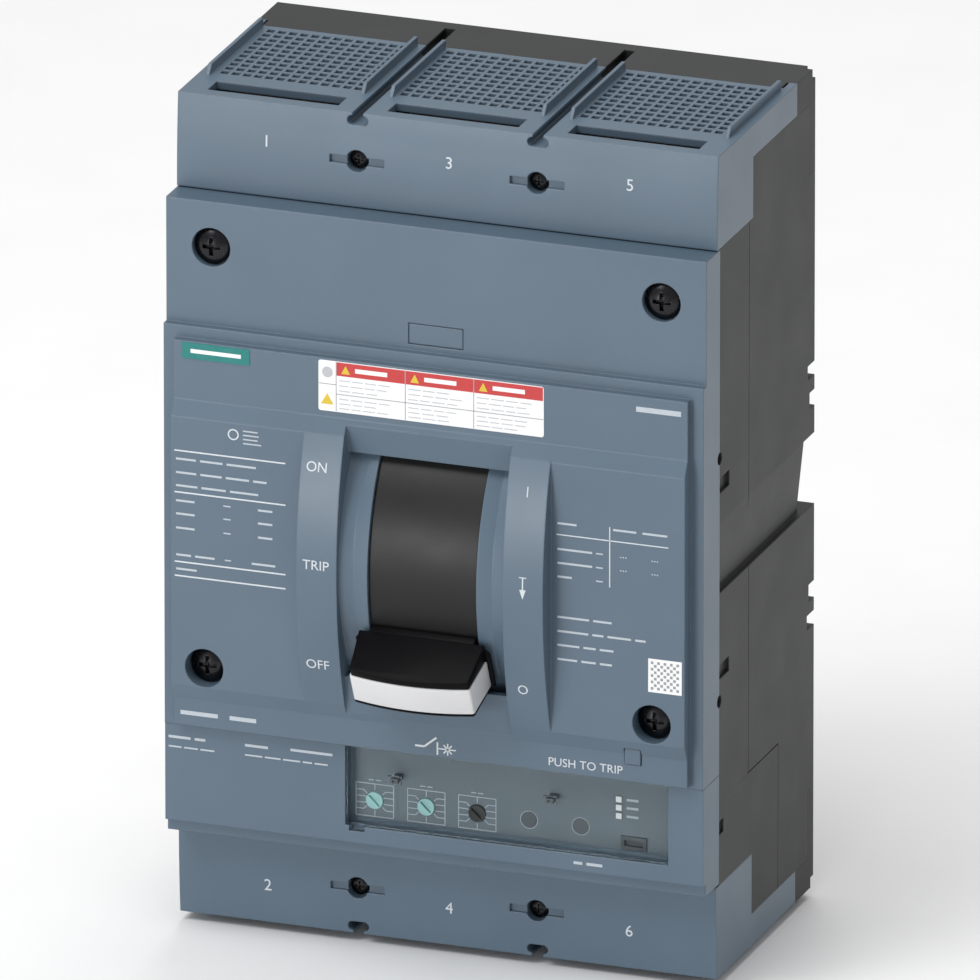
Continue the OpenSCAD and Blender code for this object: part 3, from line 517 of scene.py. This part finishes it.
def grip_outline(inset, root=HANDLE_ROOT, steps=18, corner=0.5):
    """Plan of the handle: sides that narrow to the bowed tip, with slightly cut corners."""
    half_root, half_tip = HALF_AT_ROOT - inset, HALF_AT_TIP - inset
    tip = [(-half_tip + corner + (half_tip - corner) * 2 * i / steps) for i in range(steps + 1)]
    side_end = tip_radius_at(half_tip, inset) - corner
    front = [(x, tip_radius_at(x, inset)) for x in tip]
    left = [(-half_root, root), (-half_tip - 0.02, side_end)]
    right = [(half_tip + 0.02, side_end), (half_root, root)]
    return [*left, *front, *right]


def top_level(x, radius):
    """Height of the handle's sloping top above its middle plane."""
    share = (radius - HANDLE_ROOT) / (HANDLE_TIP - HANDLE_ROOT)
    return TOP_AT_ROOT + (TOP_AT_TIP - TOP_AT_ROOT) * share


def shoulder_level(x, radius):
    """Top of the collar at the handle's root, which falls away towards its ends."""
    return top_level(x, radius) - 0.15 - 0.1 * max(0.0, abs(x) - SHOULDER_START) ** 2


def lever_prism(name, outline, t, material, bevel_mm):
    """A closed plate on the lever, with its edges rounded by a bevel."""
    bm = bmesh.new()
    levels = [(level if callable(level) else (lambda x, r, value=level: value)) for level in t]
    rims = [[bm.verts.new(lever_point(x, r, level(x, r))) for x, r in outline] for level in levels]
    count = len(outline)
    bm.faces.new(rims[1])
    bm.faces.new(list(reversed(rims[0])))
    for i in range(count):
        j = (i + 1) % count
        bm.faces.new([rims[0][i], rims[0][j], rims[1][j], rims[1][i]])
    bmesh.ops.recalc_face_normals(bm, faces=bm.faces)
    sharp = [e for e in bm.edges if len(e.link_faces) == 2 and e.calc_face_angle() > math.radians(25)]
    bmesh.ops.bevel(bm, geom=sharp, offset=bevel_mm * MM, segments=3, affect="EDGES", profile=0.5,
                    clamp_overlap=True)
    mesh = from_bmesh(name, bm)
    smooth(mesh, 30)
    return add_piece(name, mesh, material, "toggle")


def toggle_pieces():
    black, white = materials["handle_black"], materials["cap_white"]
    under = CAP_T[0] - 1.3
    skirt_x = [SKIRT_HALF * (i / 14 - 1) for i in range(29)]
    skirt_plan = [(x, SKIRT_FRONT - 0.9 * abs(x / SKIRT_HALF) ** 8) for x in skirt_x]
    skirt_plan += [(x, HANDLE_ROOT) for x in skirt_x[::-1]]
    neck_plan = [(-NECK_HALF, NECK_ROOT), (-NECK_HALF, NECK_FRONT), (NECK_HALF, NECK_FRONT),
                 (NECK_HALF, NECK_ROOT)]
    parts = [
        ("handle_core", grip_outline(2.0), (under, CAP_T[1] + 1), 0.4),
        ("handle_top", grip_outline(0.4), (CAP_T[1] + 0.06, top_level), 0.7),
        ("handle_underside", grip_outline(0.1), (under, CAP_T[0] - 0.06), 0.3),
        ("handle_skirt", skirt_plan, (under + 0.1, shoulder_level), 0.4),
        ("handle_neck", neck_plan, (under + 0.2, lambda x, r: top_level(x, r) - 0.1), 0.3),
    ]
    for name, plan, levels, rounding in parts:
        part = lever_prism(name, plan, levels, black, rounding)
        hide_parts("toggle_handle")
    band = grip_outline(0.0, BAND_ROOT) + grip_outline(CAP_WALL, BAND_ROOT)[::-1]
    cap = lever_prism("handle_band", band, CAP_T, white, 0.35)
    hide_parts("handle_cap")


# ------------------------------------------------------------------ prints on the covers


def left_plateau_print():
    rng = random.Random(11)
    rules, text = Artwork(), Artwork()
    for z in (28.8, 12.6, -14.5, -20.0):
        rules.line((-98.6, z), (-55.3, z), 0.55)
    for z, width in ((25.6, 31), (20.3, 37), (15.2, 34)):
        text.dashes((-98, z), greeked(rng, width), 0.8)
    for z in (9.3, 4.2, -1.3):
        text.dashes((-98, z), [7.2], 0.8)
        text.dashes((-79.5, z), [2.8], 0.5)
        text.dashes((-66, z), [5.6], 0.8)
    text.dashes((-98, -11.8), [5.8, 7.6], 0.8)
    text.dashes((-79, -11.8), [2.4], 0.5)
    text.dashes((-68.5, -11.8), [9.2], 0.8)
    text.dashes((-98, -17.3), [8], 0.8)
    rules.ring((-75.6, 37.6), 1.9, 0.5)
    for z in (39.4, 37.8, 36.2, 34.6):
        text.dashes((-71.8, z), [rng.uniform(5.5, 7.5)], 0.5)
    rules.lay("print_left_rules", flat(PLATEAU), INK_WHITE)
    text.lay("print_left_text", flat(PLATEAU), INK_DIM)


def right_plateau_print():
    rng = random.Random(23)
    rules, text = Artwork(), Artwork()
    rules.line((50.2, 14.5), (93.6, 14.5), 0.4)
    rules.line((70.9, 19.8), (70.9, -3.6), 0.4)
    text.dashes((50.6, 18.9), [7.4], 0.8)
    text.dashes((72.2, 18.9), [9, 9.6], 0.8, 2.4)
    for z, width in ((8.9, 13.5), (3.5, 13.5), (-1.8, 5.6)):
        text.dashes((50.6, z), [width], 0.8)
        text.dashes((65.6, z), [2.6], 0.5)
    for z in (8.6, 3.4):
        for x in (75.2, 87.4):
            for i in range(3):
                text.disc((x + i * 1.0, z), 0.28, 10)
    for z, width in ((-17.5, 21), (-23.0, 34), (-28.4, 25), (-33.9, 21)):
        text.dashes((50.6, z), greeked(rng, width), 0.8)
    rules.lay("print_right_rules", flat(PLATEAU), INK_WHITE)
    text.lay("print_right_text", flat(PLATEAU), INK_DIM)


def inspection_patch():
    """White square with a plain check pattern that holds no code."""
    x, z, side = 85.9, -42.3, 13.0
    plate, cells = Artwork(), Artwork()
    plate.box((x, x + side), (z, z + side))
    plate.lay("patch_plate", flat(PLATEAU), LABEL_FILM)
    count, margin = 9, 0.9
    cell = (side - 2 * margin) / count
    for i in range(count):
        for j in range(count):
            if (i + j) % 2 == 0:
                left, low = x + margin + i * cell, z + margin + j * cell
                cells.box((left + 0.12, left + cell - 0.12), (low + 0.12, low + cell - 0.12))
    cells.lay("patch_cells", flat(PLATEAU + 0.07), INK_GREY)


def band_prints():
    words = Artwork()
    for text, x, z in (("ON", -41.7, 30.2), ("TRIP", -40.4, -6.3), ("OFF", -41.1, -46.3), ("O", 38.9, -46.1)):
        words.word(text, (x, z), 3.8, -0.012)
    words.box((40.05, 40.45), (28.9, 32.7))
    words.box((38.7, 41.5), (-1.1, -0.75))
    words.box((39.85, 40.35), (-6.2, -1.1))
    words.polygon([(38.85, -5.6), (40.1, -9.3), (41.35, -5.6)])
    words.lay("print_positions", band_surface, INK_WHITE)


def field_prints():
    rng = random.Random(5)
    words, text = Artwork(), Artwork()
    words.word("PUSH TO TRIP", (60.4, -75.6), 3.3, -0.012)
    # Line symbol of a switch with a release, as drawn in wiring diagrams
    words.line((-5.9, -75.8), (-2.3, -75.8), 0.75)
    words.line((-2.3, -75.8), (2.4, -71.9), 0.75)
    words.line((2.8, -73.6), (2.8, -78.5), 0.6)
    words.line((2.8, -76.0), (10.0, -76.0), 0.5)
    for a in (45, 90, 135):
        c, s = 2.3 * math.cos(math.radians(a)), 2.3 * math.sin(math.radians(a))
        words.line((6.8 - c, -76.0 - s), (6.8 + c, -76.0 + s), 0.5)
    words.lay("print_field_words", flat(FIELD), INK_WHITE)
    text.dashes((-97.6, -74.4), [14.6, 10.4], 1.6, 4.6)
    text.dashes((80, 65.8), [17.4], 2.0)
    text.lay("print_field_text", flat(FIELD), INK_DIM)
    face = Artwork()
    face.dashes((-103.6, -85.8), [8.6, 4.2], 1.0)
    face.dashes((-103.6, -89.6), greeked(rng, 19, 1.0, 6), 0.6, 1.0)
    face.dashes((-73.7, -85.6), [9], 1.0)
    face.dashes((-55.9, -85.2), [16.4], 1.0)
    face.dashes((-73.7, -89.4), greeked(rng, 34, 1.0, 7), 0.6, 1.0)
    face.lay("print_unit_text", flat(UNIT_FACE), INK_DIM)
    step = Artwork()
    step.dashes((54.6, -115.2), [3.4, 6.2], 1.1)
    step.lay("print_unit_step", flat(UNIT_FACE), INK_DIM)


def terminal_numbers():
    for name, digits, z in (("upper", ("1", "3", "5"), 145.0), ("lower", ("2", "4", "6"), -145.3)):
        numbers = Artwork()
        for digit, x in zip(digits, (-70.2, 0.8, 71.0)):
            numbers.word(digit, (x, z), 4.6)
        numbers.lay("print_numbers_" + name, terminal_surface, INK_WHITE)


# ------------------------------------------------------------------ label and badge


def warning_label():
    """White film label with plain colour bars and grey dashes in place of its wording."""
    film = Artwork()
    film.rounded_box((-43.4, 44.2), (50.3, 69.9), 0.9)
    film.lay("label_plate", flat(FIELD), LABEL_FILM, rise=0.12)
    top = FIELD + 0.12
    red, lines, amber, text = Artwork(), Artwork(), Artwork(), Artwork()
    columns = ((-36.3, -9.8), (-9.4, 16.8), (17.2, 43.9))
    for left, right in columns:
        red.box((left, right), (64.4, 69.6))
        lines.line((left - 0.2, 50.5), (left - 0.2, 69.6), 0.28)
        amber.polygon([(left + 1.8, 65.3), (left + 5.2, 65.3), (left + 3.5, 68.6)])
    lines.line((-43.2, 60.8), (-36.5, 60.8), 0.28)
    lines.line((-36.3, 57.2), (44.0, 57.2), 0.28)
    amber.polygon([(-42.4, 53.0), (-37.6, 53.0), (-40.0, 57.2)])
    rng = random.Random(3)
    for left, right in columns:
        for z in (62.6, 60.6, 58.6, 55.4, 53.6, 51.8):
            text.dashes((left + 1.0, z), greeked(rng, right - left - rng.uniform(3, 9), 0.8, 5), 0.36, 0.8)
    white = Artwork()
    for left, _ in columns:
        white.dashes((left + 7.2, 67.0), [12.5], 1.7)
    text.disc((-39.9, 65.4), 2.1)
    for name, art, look in (("red", red, INK_RED), ("lines", lines, INK_GREY), ("amber", amber, INK_AMBER),
                            ("text", text, LABEL_TEXT), ("white", white, LABEL_FILM)):
        lift = 0.05 if name in ("amber", "white") else 0.0
        art.lay("label_" + name, flat(top + lift), look, rise=0.05)


def badge():
    plate, bar = Artwork(), Artwork()
    plate.rounded_box((-96.6, -70.2), (64.0, 70.2), 0.5)
    plate.lay("badge_plate", flat(FIELD), BADGE_TEAL, rise=0.25)
    bar.dashes((-93.2, 67.1), [19.6], 1.5)
    bar.lay("badge_bar", flat(FIELD + 0.25), LABEL_FILM, rise=0.05)


# ------------------------------------------------------------------ trip unit panel


def dial_scales():
    """Boxes with lead lines around the three setting dials."""
    scales = Artwork()
    half_w, half_h, wire = 7.3, 6.35, 0.32
    for node in ("dial_overload", "dial_delay", "dial_short_circuit"):
        low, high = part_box(node)
        x, z = (low.x + high.x) / 2 / MM, (low.z + high.z) / 2 / MM
        corners = [(x - half_w, z - half_h), (x + half_w, z - half_h), (x + half_w, z + half_h),
                   (x - half_w, z + half_h)]
        for a, b in zip(corners, corners[1:] + corners[:1]):
            scales.line(a, b, wire)
        for side in (-1, 1):
            for level, reach in ((3.7, 4.3), (1.25, 4.0), (-1.25, 4.0), (-3.7, 4.3)):
                scales.line((x + side * half_w, z + level), (x + side * reach, z + level), wire)
                scales.line((x + side * reach, z + level), (x + side * 3.0, z + level * 0.66), wire)
            scales.line((x, z + side * half_h), (x, z + side * 3.9), wire)
        scales.dashes((x - 2.4, z + half_h + 1.5), [2, 2], 0.4, 0.8)
    scales.lay("panel_scales", flat(PANEL_FACE), INK_DIM)


# Levels of the indicator lamps, and places of the blanking plugs on the dials' level
LAMP_LEVELS = (-90.6, -93.8, -97.1)
PLUG_PLACES = (35.0, 55.1)
DIAL_LEVEL = -103.2


def panel_details():
    lenses, marks = Artwork(), Artwork()
    for z in LAMP_LEVELS:
        lenses.box((69.0, 71.2), (z - 1.1, z + 1.1))
        marks.dashes((73.0, z), [4.6], 0.9)
    for x in PLUG_PLACES:
        marks.ring((x, DIAL_LEVEL), 3.35, 0.25)
    marks.lay("panel_marks", flat(PANEL_FACE), INK_DIM)
    lenses.lay("panel_lenses", flat(PANEL_FACE + 0.3), LABEL_FILM, rise=0.25)


# ------------------------------------------------------------------ scene


def add_area(name, place, target, size, power, colour=(1, 1, 1)):
    light = bpy.data.lights.new(name, "AREA")
    light.shape, light.size, light.energy, light.color = "DISK", size, power, colour
    lamp = bpy.data.objects.new(name, light)
    bpy.context.scene.collection.objects.link(lamp)
    lamp.location = place
    lamp.rotation_euler = (Vector(target) - Vector(place)).to_track_quat("-Z", "Y").to_euler()


def studio():
    scene = bpy.context.scene
    scene.view_settings.view_transform = "Standard"
    world = bpy.data.worlds.new("studio")
    world.use_nodes = True
    background = world.node_tree.nodes["Background"]
    background.inputs["Color"].default_value = (1.0, 1.0, 1.0, 1.0)
    background.inputs["Strength"].default_value = 0.45
    scene.world = world
    add_area("key", (-1.0, -1.4, 1.7), (0, -0.06, 0), 0.9, 14)
    add_area("strip", (-0.82, -2.25, 0.1), (0, -0.06, 0), 0.75, 14)
    add_area("top", (-0.2, -0.8, 2.3), (0, 0.1, 0), 1.4, 19)
    add_area("backdrop", (-0.1, 1.2, 2.2), (0, 0.6, 0), 1.4, 18)

    low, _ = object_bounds()
    bm = bmesh.new()
    bmesh.ops.create_grid(bm, x_segments=8, y_segments=8, size=6.0)
    floor_mesh = bpy.data.meshes.new("floor")
    bm.to_mesh(floor_mesh)
    bm.free()
    floor = bpy.data.objects.new("floor", floor_mesh)
    scene.collection.objects.link(floor)
    floor.location = (0, 0, low.z)
    floor_mesh.materials.append(studio_floor())
    floor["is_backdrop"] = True


def camera():
    """Long lens at the product photograph's angle: 20 degrees to the right and 20 above."""
    azimuth, elevation, distance = math.radians(20), math.radians(20), 14.99
    target = Vector((0, -0.060, 0.0025))  # middle of the body, where the picture is centred
    back = Vector((math.sin(azimuth) * math.cos(elevation), -math.cos(azimuth) * math.cos(elevation),
                   math.sin(elevation)))
    data = bpy.data.cameras.new("camera")
    data.lens, data.sensor_width, data.clip_start, data.clip_end = 1500, 36, 1.0, 60.0
    view = bpy.data.objects.new("camera", data)
    bpy.context.scene.collection.objects.link(view)
    view.location = target + back * distance
    view.rotation_euler = (-back).to_track_quat("-Z", "Y").to_euler()
    bpy.context.scene.camera = view


toggle_pieces()
left_plateau_print()
right_plateau_print()
inspection_patch()
band_prints()
field_prints()
terminal_numbers()
warning_label()
badge()
dial_scales()
panel_details()
studio()
camera()
